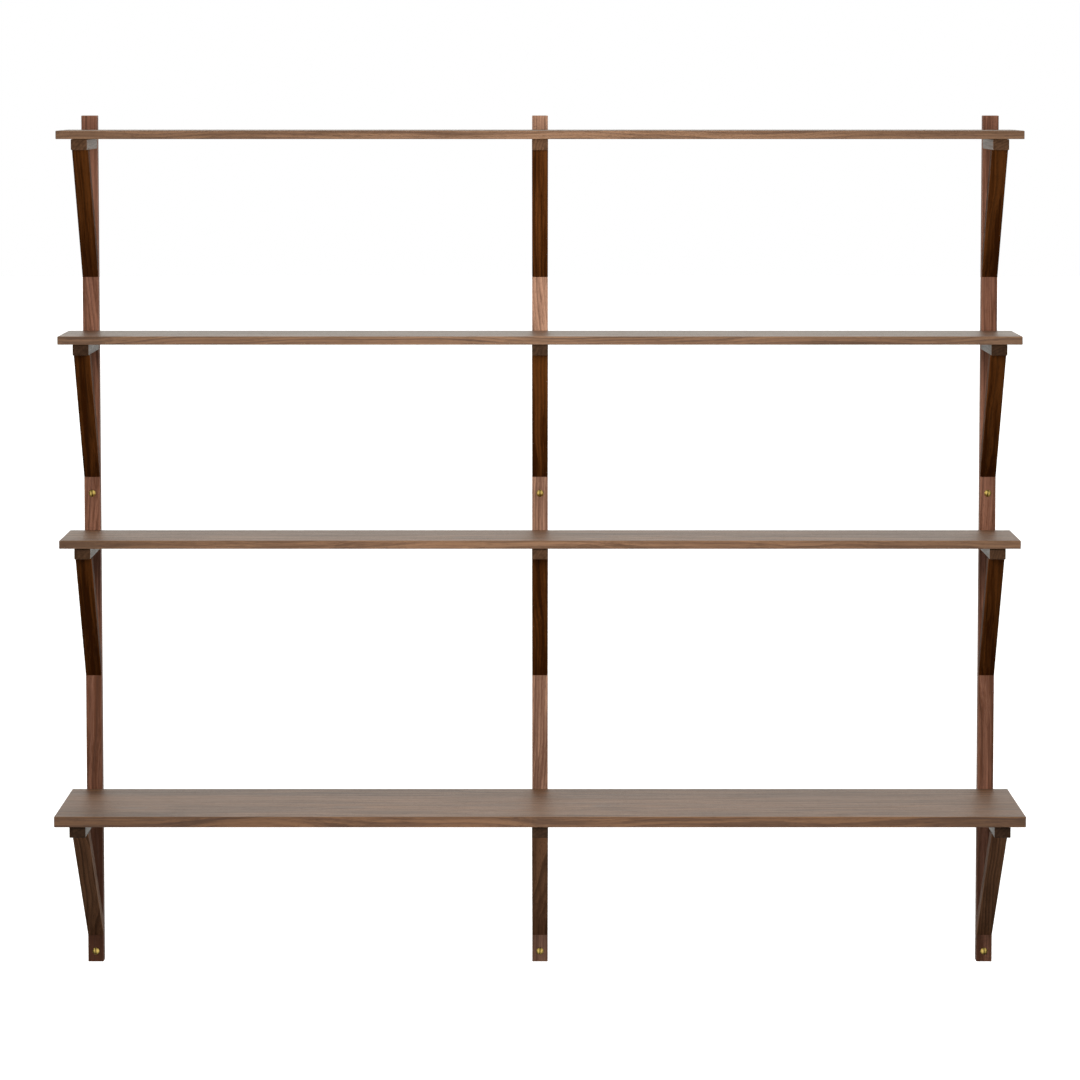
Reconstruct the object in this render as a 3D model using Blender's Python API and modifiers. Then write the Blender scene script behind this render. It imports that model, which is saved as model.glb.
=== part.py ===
"""Wall shelf in walnut: three uprights on the wall carry four boards on braced brackets.

Run it with blender --background --python part.py, or from the text editor.
Lengths are in metres. +X runs along the boards, +Z is up and -Y faces the room.
The origin is the middle of the centre upright's back face, which lies on the wall.
"""

import math

import bmesh
import bpy
from mathutils import Euler, Matrix

# Gaps between pieces
JOINT_GAP = 0.0003  # between any two faces that touch
EASE = 0.0008  # chamfer along every wooden arris

# Uprights: the square bars that are screwed to the wall
UPRIGHT_WIDTH = 0.027
UPRIGHT_DEPTH = 0.027
UPRIGHT_ABOVE = 0.024  # how far the uprights stand above the top board
UPRIGHT_BELOW = 0.047  # how far they reach below the lowest strut's foot

# Boards
BOARD_LENGTH = 1.620
BOARD_OVERHANG = 0.025  # past the outer face of the outer uprights
BOARD_DEPTH = 0.200
BOARD_THICKNESS = 0.014
BOTTOM_BOARD_DEPTH = 0.330
BOTTOM_BOARD_THICKNESS = 0.018
BOARD_SPACING = 0.344  # from one board's top face to the next
BOTTOM_SPACING = 0.450  # the tall bay above the bottom board

# Brackets: an arm under the board and a strut that braces it
ARM_HEIGHT = 0.018
ARM_SETBACK = 0.005  # of the arm's front end behind the board's front edge
STRUT_THICKNESS = 0.025
STRUT_SETBACK = 0.019  # of the strut's front face behind the arm's front end
BOTTOM_STRUT_SETBACK = 0.049
BRACKET_DROP = 0.238  # from the board's underside to the strut's foot

# Mortise and tenon joints
TENON_WIDTH = 0.009
TENON_ROOT = 0.003  # how deep a tenon is rooted in its own piece
ARM_TENON_HEIGHT = 0.010
ARM_TENON_LENGTH = 0.016
FOOT_TENON_HEIGHT = 0.018
FOOT_TENON_LENGTH = 0.012
HEAD_TENON_DEPTH = 0.018
HEAD_TENON_LENGTH = 0.008

# Wall screws: raised countersunk heads with one slot
WALL_SCREW_BELOW = 0.0285  # under the foot of the bracket above it
WALL_SCREW_RADIUS = 0.003
WALL_SCREW_LENGTH = 0.070
WALL_HEAD_RADIUS = 0.006
WALL_HEAD_DOME = 0.0022
WALL_HEAD_CONE = 0.0035
WALL_SLOT_WIDTH = 0.0013
WALL_SLOT_DEPTH = 0.0018

# Board screws: flat countersunk heads, driven up through the arms
BOARD_SCREW_RADIUS = 0.002
BOARD_SCREW_LENGTH = 0.025
BOARD_HEAD_RADIUS = 0.0038
BOARD_HEAD_CONE = 0.0022
BOARD_HEAD_SUNK = 0.0005  # below the arm's underside
BOARD_SLOT_WIDTH = 0.0009
BOARD_SLOT_DEPTH = 0.0009
REAR_SCREW_OUT = 0.075  # from the upright
FRONT_SCREW_SETBACK = 0.025  # of the bottom brackets' second screw behind the arm's end

# Facets
DOME_RINGS = 4
WALL_SCREW_STEPS = 20
BOARD_SCREW_STEPS = 12
POINT_RADII = 4.0  # length of a screw's point, in shank radii
PAST = 0.004  # how far a cutter runs past the face that it opens

# Finishes: colour, roughness, metallic
WALNUT_BOARD = ((0.196, 0.107, 0.062), 0.52, 0.0)
WALNUT_UPRIGHT = ((0.178, 0.086, 0.052), 0.52, 0.0)
WALNUT_ARM = ((0.105, 0.056, 0.033), 0.55, 0.0)
WALNUT_STRUT = ((0.090, 0.045, 0.024), 0.55, 0.0)
BRASS = ((0.700, 0.500, 0.130), 0.28, 1.0)

LEVELS = ("top", "second", "third", "bottom")
SIDES = {"left": -1, "centre": 0, "right": 1}
UNTURNED = (0.0, 0.0, 0.0)
UNMOVED = ((0.0, 0.0, 0.0), UNTURNED)

# Values that follow from the sizes above
UPRIGHT_SPACING = (BOARD_LENGTH - UPRIGHT_WIDTH) / 2 - BOARD_OVERHANG
BOARDS_SPAN = 2 * BOARD_SPACING + BOTTOM_SPACING  # from the top board's top face to the bottom one's
FEET_BELOW = BOTTOM_BOARD_THICKNESS + BRACKET_DROP  # the lowest feet, under the bottom board's top face
UPRIGHT_HEIGHT = UPRIGHT_ABOVE + BOARDS_SPAN + FEET_BELOW + UPRIGHT_BELOW
TOP_FACE = UPRIGHT_HEIGHT / 2 - UPRIGHT_ABOVE
TOP_FACES = {
    "top": TOP_FACE,
    "second": TOP_FACE - BOARD_SPACING,
    "third": TOP_FACE - 2 * BOARD_SPACING,
    "bottom": TOP_FACE - BOARDS_SPAN,
}
ARM_TOP = -JOINT_GAP
ARM_BOTTOM = ARM_TOP - ARM_HEIGHT
STRUT_TOP = ARM_BOTTOM - JOINT_GAP
SCREW_HEAD_Z = ARM_BOTTOM + BOARD_HEAD_SUNK
SCREW_TIP_Z = SCREW_HEAD_Z + BOARD_SCREW_LENGTH


def thickness_of(level):
    return BOTTOM_BOARD_THICKNESS if level == "bottom" else BOARD_THICKNESS


def depth_of(level):
    return BOTTOM_BOARD_DEPTH if level == "bottom" else BOARD_DEPTH


def arm_end_of(level):
    """How far the arm's front end stands out from the upright."""
    return depth_of(level) - ARM_SETBACK


def reach_of(level):
    """How far out the strut's front face meets the arm."""
    setback = BOTTOM_STRUT_SETBACK if level == "bottom" else STRUT_SETBACK
    return arm_end_of(level) - setback


def underside_of(level):
    return TOP_FACES[level] - thickness_of(level)


def screws_of(level):
    """How far out from the upright each board screw of a bracket stands."""
    if level == "bottom":
        return (REAR_SCREW_OUT, arm_end_of(level) - FRONT_SCREW_SETBACK)
    return (REAR_SCREW_OUT,)


def strut_geometry(level):
    """The strut's lean from vertical, and the middles of its two contact faces."""
    reach = reach_of(level)
    lean = math.atan2(reach - JOINT_GAP, BRACKET_DROP + STRUT_TOP)
    foot_middle = -BRACKET_DROP + STRUT_THICKNESS / math.sin(lean) / 2
    head_middle = -reach + STRUT_THICKNESS / math.cos(lean) / 2
    return lean, foot_middle, head_middle


def clear_scene():
    for old in list(bpy.data.objects):
        bpy.data.objects.remove(old, do_unlink=True)


def new_collection(name):
    collection = bpy.data.collections.new(name)
    bpy.context.scene.collection.children.link(collection)
    return collection


def new_material(name, finish):
    colour, roughness, metallic = finish
    material = bpy.data.materials.new(name)
    material.use_nodes = True
    shader = material.node_tree.nodes["Principled BSDF"]
    shader.inputs["Base Color"].default_value = (*colour, 1.0)
    shader.inputs["Roughness"].default_value = roughness
    shader.inputs["Metallic"].default_value = metallic
    material.diffuse_color = (*colour, 1.0)
    return material


def new_object(name, mesh, collection):
    made = bpy.data.objects.new(name, mesh)
    collection.objects.link(made)
    return made


def add_box(bm, low, high):
    """Adds a box to a bmesh, given its two far corners."""
    size = [b - a for a, b in zip(low, high)]
    middle = [(a + b) / 2 for a, b in zip(low, high)]
    place = Matrix.Translation(middle) @ Matrix.Diagonal((*size, 1.0))
    bmesh.ops.create_cube(bm, size=1.0, matrix=place)


def boxes_object(name, boxes, collection):
    """One object that holds a box for each pair of corners."""
    bm = bmesh.new()
    for low, high in boxes:
        add_box(bm, low, high)
    mesh = bpy.data.meshes.new(name)
    bm.to_mesh(mesh)
    bm.free()
    return new_object(name, mesh, collection)


def as_cutter(cutter):
    cutter.hide_render = True
    cutter.display_type = "WIRE"
    return cutter


def ease_edges(target):
    bevel = target.modifiers.new("eased_arris", "BEVEL")
    bevel.width = EASE
    bevel.segments = 1
    bevel.limit_method = "ANGLE"


def combine(target, other, operation):
    boolean = target.modifiers.new(other.name, "BOOLEAN")
    boolean.operation = operation
    boolean.solver = "EXACT"
    boolean.object = other


def finished_mesh(pattern):
    """The pattern's mesh with its modifiers applied. The pattern itself goes."""
    graph = bpy.context.evaluated_depsgraph_get()
    mesh = bpy.data.meshes.new_from_object(pattern.evaluated_get(graph))
    mesh.name = pattern.name
    bpy.data.objects.remove(pattern, do_unlink=True)
    return mesh


def turned_object(name, profile, steps, collection):
    """A solid of revolution about Z. The profile runs down its outer side, axis to axis."""
    mesh = bpy.data.meshes.new(name)
    points = [(radius, 0.0, height) for radius, height in profile]
    edges = [(i, i + 1) for i in range(len(points) - 1)]
    mesh.from_pydata(points, edges, [])
    turned = new_object(name, mesh, collection)
    screw = turned.modifiers.new("turn", "SCREW")
    screw.axis = "Z"
    screw.steps = steps
    screw.render_steps = steps
    screw.use_merge_vertices = True
    screw.merge_threshold = 0.00005
    return turned


def screw_profile(head_radius, dome, cone, radius, length):
    """Dome, countersink, shank and point. Height 0 is the face that the head sits in."""
    profile = []
    if dome:
        sphere = (head_radius**2 + dome**2) / (2 * dome)
        for ring in range(DOME_RINGS):
            out = head_radius * ring / DOME_RINGS
            profile.append((out, math.sqrt(sphere**2 - out**2) - sphere + dome))
    else:
        profile.append((0.0, 0.0))
    point = POINT_RADII * radius
    profile += [(head_radius, 0.0), (radius, -cone), (radius, point - length), (0.0, -length)]
    return profile


def hole_profile(head_radius, cone, radius, bottom):
    """A countersunk hole around a screw, with the joint gap all round."""
    wide = head_radius + JOINT_GAP
    narrow = radius + JOINT_GAP
    return [(0.0, PAST), (wide, PAST), (wide, 0.0), (narrow, -cone), (narrow, bottom), (0.0, bottom)]


def screw_mesh(name, profile, steps, slot_width, slot_bottom, collection):
    """A turned screw with a slot across its head, along Y."""
    screw = turned_object(name, profile, steps, collection)
    top = profile[0][1]
    half = max(radius for radius, _ in profile) + PAST
    corners = ((-slot_width / 2, -half, slot_bottom), (slot_width / 2, half, top + PAST))
    slot = as_cutter(boxes_object(name + "_slot", [corners], collection))
    combine(screw, slot, "DIFFERENCE")
    mesh = finished_mesh(screw)
    mesh.shade_smooth()
    mesh.set_sharp_from_angle(angle=math.radians(30))
    return mesh


def holes_object(name, profile, steps, places, collection):
    """One cutter that holds a turned hole at each place, a location and a rotation."""
    hole = turned_object(name + "_hole", profile, steps, collection)
    mesh = finished_mesh(hole)
    bm = bmesh.new()
    for location, rotation in places:
        copy = mesh.copy()
        copy.transform(Matrix.LocRotScale(location, Euler(rotation), None))
        bm.from_mesh(copy)
        bpy.data.meshes.remove(copy)
    mesh.clear_geometry()
    bm.to_mesh(mesh)
    bm.free()
    return as_cutter(new_object(name, mesh, collection))


def mortise(low, high, opens):
    """The corners of a pocket round a tenon: a gap on each side, open past one face.

    opens is the axis and the direction in which the pocket's mouth lies.
    """
    low = [value - JOINT_GAP for value in low]
    high = [value + JOINT_GAP for value in high]
    axis, direction = opens
    if direction > 0:
        high[axis] += PAST
    else:
        low[axis] -= PAST
    return low, high


def arm_tenon():
    """Corners of the arm's tenon in the bracket's own frame, from the upright's face inwards."""
    middle = (ARM_TOP + ARM_BOTTOM) / 2
    low = (-TENON_WIDTH / 2, 0.0, middle - ARM_TENON_HEIGHT / 2)
    high = (TENON_WIDTH / 2, ARM_TENON_LENGTH, middle + ARM_TENON_HEIGHT / 2)
    return low, high


def foot_tenon(level):
    """Corners of the strut's lower tenon, which enters the upright."""
    _, middle, _ = strut_geometry(level)
    low = (-TENON_WIDTH / 2, 0.0, middle - FOOT_TENON_HEIGHT / 2)
    high = (TENON_WIDTH / 2, FOOT_TENON_LENGTH, middle + FOOT_TENON_HEIGHT / 2)
    return low, high


def head_tenon(level):
    """Corners of the strut's upper tenon, which enters the arm from below."""
    _, _, middle = strut_geometry(level)
    low = (-TENON_WIDTH / 2, middle - HEAD_TENON_DEPTH / 2, ARM_BOTTOM)
    high = (TENON_WIDTH / 2, middle + HEAD_TENON_DEPTH / 2, ARM_BOTTOM + HEAD_TENON_LENGTH)
    return low, high


def rooted(corners, axis):
    """A tenon made longer at its low end, so that it is rooted in its own piece."""
    low, high = list(corners[0]), corners[1]
    low[axis] -= TENON_ROOT + JOINT_GAP
    return low, high


def wall_screw_heights():
    """Heights of the two wall screws, each below the foot of a bracket."""
    return {
        "upper": underside_of("second") - BRACKET_DROP - WALL_SCREW_BELOW,
        "lower": underside_of("bottom") - BRACKET_DROP - WALL_SCREW_BELOW,
    }


def in_upright(height):
    """Location and rotation of a screw whose head faces the room, in an upright."""
    return (0.0, -UPRIGHT_DEPTH, height), (math.radians(90), 0.0, 0.0)


def in_arm(out):
    """Location and rotation of a screw whose head faces down, in an arm."""
    return (0.0, -out, SCREW_HEAD_Z), (math.radians(180), 0.0, 0.0)


def upright_mesh(parts, cutters):
    """The square bar with every pocket for its four brackets and two screw holes."""
    half = UPRIGHT_WIDTH / 2
    corners = ((-half, -UPRIGHT_DEPTH, -UPRIGHT_HEIGHT / 2), (half, 0.0, UPRIGHT_HEIGHT / 2))
    upright = boxes_object("upright", [corners], parts)
    ease_edges(upright)
    pockets = []
    for level in LEVELS:
        for tenon in (arm_tenon(), foot_tenon(level)):
            low, high = mortise(*tenon, (1, -1))
            lift = (0.0, -UPRIGHT_DEPTH, underside_of(level))
            pockets.append([[a + b for a, b in zip(corner, lift)] for corner in (low, high)])
    mortises = as_cutter(boxes_object("upright_mortises", pockets, cutters))
    combine(upright, mortises, "DIFFERENCE")
    profile = hole_profile(WALL_HEAD_RADIUS, WALL_HEAD_CONE, WALL_SCREW_RADIUS, -UPRIGHT_DEPTH - PAST)
    places = [in_upright(height) for height in wall_screw_heights().values()]
    holes = holes_object("upright_holes", profile, WALL_SCREW_STEPS, places, cutters)
    combine(upright, holes, "DIFFERENCE")
    return finished_mesh(upright)


def board_mesh(level, parts, cutters):
    """A plain board with a blind pilot hole over each board screw."""
    name = "board_" + level
    half = BOARD_LENGTH / 2
    corners = ((-half, -depth_of(level), 0.0), (half, -JOINT_GAP, thickness_of(level)))
    board = boxes_object(name, [corners], parts)
    ease_edges(board)
    radius = BOARD_SCREW_RADIUS + JOINT_GAP
    deep = SCREW_TIP_Z + JOINT_GAP
    profile = [(0.0, deep), (radius, deep), (radius, -PAST), (0.0, -PAST)]
    places = [
        ((step * UPRIGHT_SPACING, -out, 0.0), UNTURNED)
        for step in SIDES.values()
        for out in screws_of(level)
    ]
    holes = holes_object(name + "_pilots", profile, BOARD_SCREW_STEPS, places, cutters)
    combine(board, holes, "DIFFERENCE")
    return finished_mesh(board)


def arm_mesh(level, parts, cutters):
    """The bar under a board: tenon behind, pocket for the strut and screw holes."""
    name = "arm_" + level
    half = UPRIGHT_WIDTH / 2
    corners = ((-half, -arm_end_of(level), ARM_BOTTOM), (half, -JOINT_GAP, ARM_TOP))
    arm = boxes_object(name, [corners], parts)
    ease_edges(arm)
    tenon = as_cutter(boxes_object(name + "_tenon", [rooted(arm_tenon(), 1)], cutters))
    combine(arm, tenon, "UNION")
    pocket = mortise(*head_tenon(level), (2, -1))
    combine(arm, as_cutter(boxes_object(name + "_mortise", [pocket], cutters)), "DIFFERENCE")
    profile = hole_profile(BOARD_HEAD_RADIUS, BOARD_HEAD_CONE, BOARD_SCREW_RADIUS, -ARM_HEIGHT - PAST)
    places = [in_arm(out) for out in screws_of(level)]
    holes = holes_object(name + "_holes", profile, BOARD_SCREW_STEPS, places, cutters)
    combine(arm, holes, "DIFFERENCE")
    return finished_mesh(arm)


def strut_mesh(level, parts, cutters):
    """A leaning bar, sawn upright at its foot and level at its head, with two tenons."""
    name = "strut_" + level
    lean, _, _ = strut_geometry(level)
    run = math.hypot(reach_of(level) - JOINT_GAP, BRACKET_DROP + STRUT_TOP)
    spare = 2 * STRUT_THICKNESS
    half = UPRIGHT_WIDTH / 2
    corners = ((-half, 0.0, -spare), (half, STRUT_THICKNESS, run + spare))
    strut = boxes_object(name, [corners], parts)
    place = Matrix.Translation((0.0, -JOINT_GAP, -BRACKET_DROP)) @ Matrix.Rotation(lean, 4, "X")
    strut.data.transform(place)
    ease_edges(strut)
    wide = UPRIGHT_WIDTH
    room = ((-wide, -2 * reach_of(level), -2 * BRACKET_DROP), (wide, -JOINT_GAP, STRUT_TOP))
    combine(strut, as_cutter(boxes_object(name + "_room", [room], cutters)), "INTERSECT")
    tenons = [rooted(foot_tenon(level), 1), rooted(head_tenon(level), 2)]
    combine(strut, as_cutter(boxes_object(name + "_tenons", tenons, cutters)), "UNION")
    return finished_mesh(strut)


def place_piece(name, mesh, material, parent, place, collection):
    """A named copy of a finished mesh. The place is a location and a rotation from its parent."""
    piece = new_object(name, mesh, collection)
    piece.parent = parent
    piece.location, piece.rotation_euler = place
    if not mesh.materials:
        mesh.materials.append(None)
    piece.material_slots[0].link = "OBJECT"
    piece.material_slots[0].material = material
    return piece


def place_empty(name, parent, location, collection):
    empty = new_object(name, None, collection)
    empty.parent = parent
    empty.location = location
    empty.empty_display_size = 0.03
    return empty


def build():
    clear_scene()
    parts = new_collection("wall_shelf")
    cutters = new_collection("cutters")
    finishes = {
        "board": WALNUT_BOARD,
        "upright": WALNUT_UPRIGHT,
        "arm": WALNUT_ARM,
        "strut": WALNUT_STRUT,
        "wall_screw": BRASS,
        "board_screw": BRASS,
    }
    materials = {name: new_material(name, finish) for name, finish in finishes.items()}

    upright = upright_mesh(parts, cutters)
    arms = {"upper": arm_mesh("top", parts, cutters), "bottom": arm_mesh("bottom", parts, cutters)}
    struts = {"upper": strut_mesh("top", parts, cutters), "bottom": strut_mesh("bottom", parts, cutters)}
    boards = {"upper": board_mesh("top", parts, cutters), "bottom": board_mesh("bottom", parts, cutters)}
    wall_profile = screw_profile(
        WALL_HEAD_RADIUS, WALL_HEAD_DOME, WALL_HEAD_CONE, WALL_SCREW_RADIUS, WALL_SCREW_LENGTH
    )
    wall_slot = WALL_HEAD_DOME - WALL_SLOT_DEPTH
    wall_screw = screw_mesh("wall_screw", wall_profile, WALL_SCREW_STEPS, WALL_SLOT_WIDTH, wall_slot, cutters)
    board_profile = screw_profile(
        BOARD_HEAD_RADIUS, 0.0, BOARD_HEAD_CONE, BOARD_SCREW_RADIUS, BOARD_SCREW_LENGTH
    )
    board_screw = screw_mesh(
        "board_screw", board_profile, BOARD_SCREW_STEPS, BOARD_SLOT_WIDTH, -BOARD_SLOT_DEPTH, cutters
    )

    root = place_empty("wall_point", None, (0.0, 0.0, 0.0), parts)
    for side, step in SIDES.items():
        across = (step * UPRIGHT_SPACING, 0.0, 0.0)
        post = place_piece("upright_" + side, upright, materials["upright"], root, (across, UNTURNED), parts)
        for row, height in wall_screw_heights().items():
            name = f"wall_screw_{row}_{side}"
            place_piece(name, wall_screw, materials["wall_screw"], post, in_upright(height), parts)

    for level in LEVELS:
        kind = "bottom" if level == "bottom" else "upper"
        front = (0.0, -UPRIGHT_DEPTH, underside_of(level))
        place_piece("board_" + level, boards[kind], materials["board"], root, (front, UNTURNED), parts)
        for side, step in SIDES.items():
            corner = (step * UPRIGHT_SPACING, -UPRIGHT_DEPTH, underside_of(level))
            bracket = place_empty(f"bracket_{level}_{side}", root, corner, parts)
            place_piece(f"arm_{level}_{side}", arms[kind], materials["arm"], bracket, UNMOVED, parts)
            place_piece(f"strut_{level}_{side}", struts[kind], materials["strut"], bracket, UNMOVED, parts)
            for order, out in zip(("rear", "front"), screws_of(level)):
                name = f"board_screw_{order}_{level}_{side}"
                place_piece(name, board_screw, materials["board_screw"], bracket, in_arm(out), parts)


build()
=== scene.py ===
"""Fine surfaces, finishes and a studio for a walnut wall shelf with brackets, made on its plain frame."""

import math

import bmesh
import bpy
import numpy as np
from mathutils import Euler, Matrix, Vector


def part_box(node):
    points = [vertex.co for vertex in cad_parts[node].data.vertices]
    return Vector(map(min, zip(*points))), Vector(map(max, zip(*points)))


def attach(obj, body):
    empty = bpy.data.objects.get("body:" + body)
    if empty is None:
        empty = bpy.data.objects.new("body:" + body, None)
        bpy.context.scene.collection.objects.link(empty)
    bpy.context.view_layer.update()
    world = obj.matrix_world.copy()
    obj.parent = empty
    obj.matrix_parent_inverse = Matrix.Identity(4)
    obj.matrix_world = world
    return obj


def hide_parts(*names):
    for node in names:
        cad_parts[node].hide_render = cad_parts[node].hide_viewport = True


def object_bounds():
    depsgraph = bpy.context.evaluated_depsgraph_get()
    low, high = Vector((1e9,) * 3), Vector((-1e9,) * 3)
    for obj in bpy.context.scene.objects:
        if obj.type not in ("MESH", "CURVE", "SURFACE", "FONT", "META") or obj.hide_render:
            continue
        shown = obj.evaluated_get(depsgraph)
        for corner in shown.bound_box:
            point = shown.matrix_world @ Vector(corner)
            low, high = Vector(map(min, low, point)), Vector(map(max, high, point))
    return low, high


bl_info = {
    "name": "Wall Shelf with Brackets",
    "version": (1, 0, 0),
    "blender": (4, 5, 0),
    "location": "View3D > Sidebar > Wall Shelf",
    "description": "Makes the boards, uprights, brackets and screws of a walnut wall shelf, and its studio",
    "category": "Add Mesh",
}

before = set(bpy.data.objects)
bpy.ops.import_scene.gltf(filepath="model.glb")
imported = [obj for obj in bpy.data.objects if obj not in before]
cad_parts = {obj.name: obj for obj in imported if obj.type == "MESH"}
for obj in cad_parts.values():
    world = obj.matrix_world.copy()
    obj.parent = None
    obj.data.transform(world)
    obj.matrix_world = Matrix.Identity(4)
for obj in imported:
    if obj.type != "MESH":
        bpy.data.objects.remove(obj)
CAD_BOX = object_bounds()

LEVELS = ("top", "second", "third", "bottom")
SIDES = ("left", "centre", "right")
MERGE = 2e-6  # points closer than this are one point
BEND_STEPS = 4  # steps round a quarter of an eased edge
POCKET_STEPS = 10  # steps along each side of the square patch round a hole
QUARTER = math.pi / 2

# Which world axis runs along, across and up through each kind of bar. Holes run up through it from below.
BOARD_AXES = (0, 1, 2)
UPRIGHT_AXES = (2, 0, 1)
ARM_AXES = (1, 0, 2)

# Screws: the world axis that each kind lies along, steps in its parts, and how its thread is cut
SCREW_AXES = {"wall": 1, "board": 2}
HEAD_COLUMNS, SLOT_COLUMNS, HEAD_ROWS = 19, 4, 13
THREAD_STEPS = 10  # steps along one turn of the thread
THREAD_CORE = 0.72  # radius between the threads, as a share of the neck's
THREAD_EDGE = 2.2  # how steep the ridges are, 1 leaving no flat between them
POINT_LENGTH = 3.2  # in neck radii
BESIDE_SLOT = 1.05  # no other column of the head is nearer to the slot's middle, in half slots

# How light the arms' and boards' wood is, and how dull the boards are, at each level
ARM_TONES = {"top": 1.05, "second": 0.50, "third": 0.78, "bottom": 0.44}
BOARD_TONES = {"top": 0.94, "second": 0.86, "third": 0.93, "bottom": 0.92}
BOARD_DULLNESS = {"top": 1.0, "second": 0.82, "third": 1.0, "bottom": 1.05}

# The walnut of each kind of piece: its early wood, its heartwood and the lines of its late wood. The
# struts' dark colours are partly painted shade, and the bottom struts' lighter ones hold painted light from
# below.
WOODS = {
    "board": ((0.168, 0.089, 0.046), (0.075, 0.037, 0.017), (0.045, 0.020, 0.010)),
    "low_board": ((0.140, 0.070, 0.033), (0.055, 0.026, 0.012), (0.045, 0.020, 0.010)),
    "upright": ((0.240, 0.107, 0.065), (0.100, 0.038, 0.019), (0.055, 0.024, 0.015)),
    "centre_upright": ((0.360, 0.198, 0.125), (0.170, 0.086, 0.054), (0.055, 0.024, 0.015)),
    "arm": ((0.096, 0.048, 0.024), (0.050, 0.024, 0.011), (0.025, 0.011, 0.005)),
    "strut": ((0.092, 0.029, 0.006), (0.030, 0.0075, 0.001), (0.020, 0.007, 0.002)),
    "low_strut": ((0.215, 0.102, 0.050), (0.125, 0.056, 0.027), (0.020, 0.007, 0.002)),
}
WOOD_PARTS = {"light": "Early wood", "dark": "Heartwood", "line": "Late wood"}

# The sizes of a screw: what each is, for a wall screw and for a board screw, in metres
SCREW_SIZES = {
    "shank": ("Radius of the neck", 0.003, 0.002),
    "dome": ("How far the head is domed", 0.00215, 0.0),
    "cone": ("Depth of the cone under the head", 0.0035, 0.0022),
    "slot": ("Width of the slot", 0.0013, 0.0009),
    "slot_depth": ("From the head's top to the slot's floor", 0.00175, 0.0009),
    "pitch": ("Distance between the threads", 0.0026, 0.0018),
    "neck": ("Plain length under the head", 0.028, 0.012),
}

# Where a piece is cut from its log, in metres: along it, and across and out from the pith
GOLDEN = 0.6180339887
LOG_LENGTH = 7.0
PITH_TO_BOARD = (0.03, 0.075)
PITH_TO_BAR = (0.035, 0.03)
PITH_SPREAD = (0.05, 0.045)

# The walnut's figure, as noise: lumps to a metre along and across the grain, detail and roughness
WAVE = (1.8, 4.0, 2.0, 0.5)
FLUTTER = (5.0, 55.0, 2.0, 0.5)
ZONE = (0.7, 16.0, 3.0, 0.55)
FLOW = (4.0, 70.0, 2.0, 0.5)
STREAK = (2.2, 170.0, 3.0, 0.6)
FIBRE = (14.0, 900.0, 2.0, 0.6)
PORE = (70.0, 2600.0, 1.0, 0.5)

# How dark the walnut is between its light and its dark colour, and how much each figure darkens it
DARKNESS, BY_ZONE, BY_FLOW, BY_STREAK, BY_FIBRE = 0.45, 0.9, 1.1, 1.5, 0.9

# Where each soft light stands, what it faces and how wide it is, in metres, and the light from above
KEY = ((0.0, -1.5, 0.66), (0.0, 0.0, 0.1), 0.8)
SHEEN = ((0.0, -1.3, -0.1), (0.0, 0.0, -0.1), 4.4)
LOW_FILL = ((0.0, -1.5, -0.95), (0.0, 0.0, -0.55), 0.8)
TOP_ANGLE = math.radians(50)
TOP_TILT = math.radians(24)

# The room's light: its level, how much brighter it is from behind and from above, the least, and its colour
ROOM_LEVEL, ROOM_BACK, ROOM_UP, ROOM_LEAST = 0.20, 0.95, 0.18, 0.02
ROOM_COLOUR = (1.0, 0.985, 0.93)
WHITE = (1.0, 1.0, 1.0)
FLOOR_PAINT = (0.86, 0.86, 0.86)
FLOOR_GLOW = 0.42
FLOOR_RADIUS, FLOOR_STEPS = 40.0, 96
CAMERA_PITCH = math.radians(5.252)


# ---- what the frame says


def points_of(node):
    """Every corner of a frame node, one row of x, y and z each."""
    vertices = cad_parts[node].data.vertices
    flat = np.empty(len(vertices) * 3)
    vertices.foreach_get("co", flat)
    return flat.reshape(-1, 3)


def body_and_tenon(node, axis, face):
    """A node's body up to a face, and the box of the tenon that goes past the face along an axis."""
    points = points_of(node)
    past = points[:, axis] > face
    body, tenon = points[~past], points[past]
    tenon_box = [tenon.min(0), tenon.max(0)]
    tenon_box[0][axis] = body[:, axis].max()
    return body, tenon_box


def upright_front(side):
    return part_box("upright_" + side)[0].y


def arm_name(level, side):
    return f"arm_{level}_{side}"


def strut_name(level, side):
    return f"strut_{level}_{side}"


def board_screws(part=""):
    """The frame's board screws whose names hold a part, in order."""
    return sorted(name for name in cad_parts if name.startswith("board_screw_") and part in name)


def centre_of(node):
    low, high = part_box(node)
    return (low + high) / 2


def head_radius(screw):
    low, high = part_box(screw)
    return (high.x - low.x) / 2


# ---- surfaces


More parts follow.
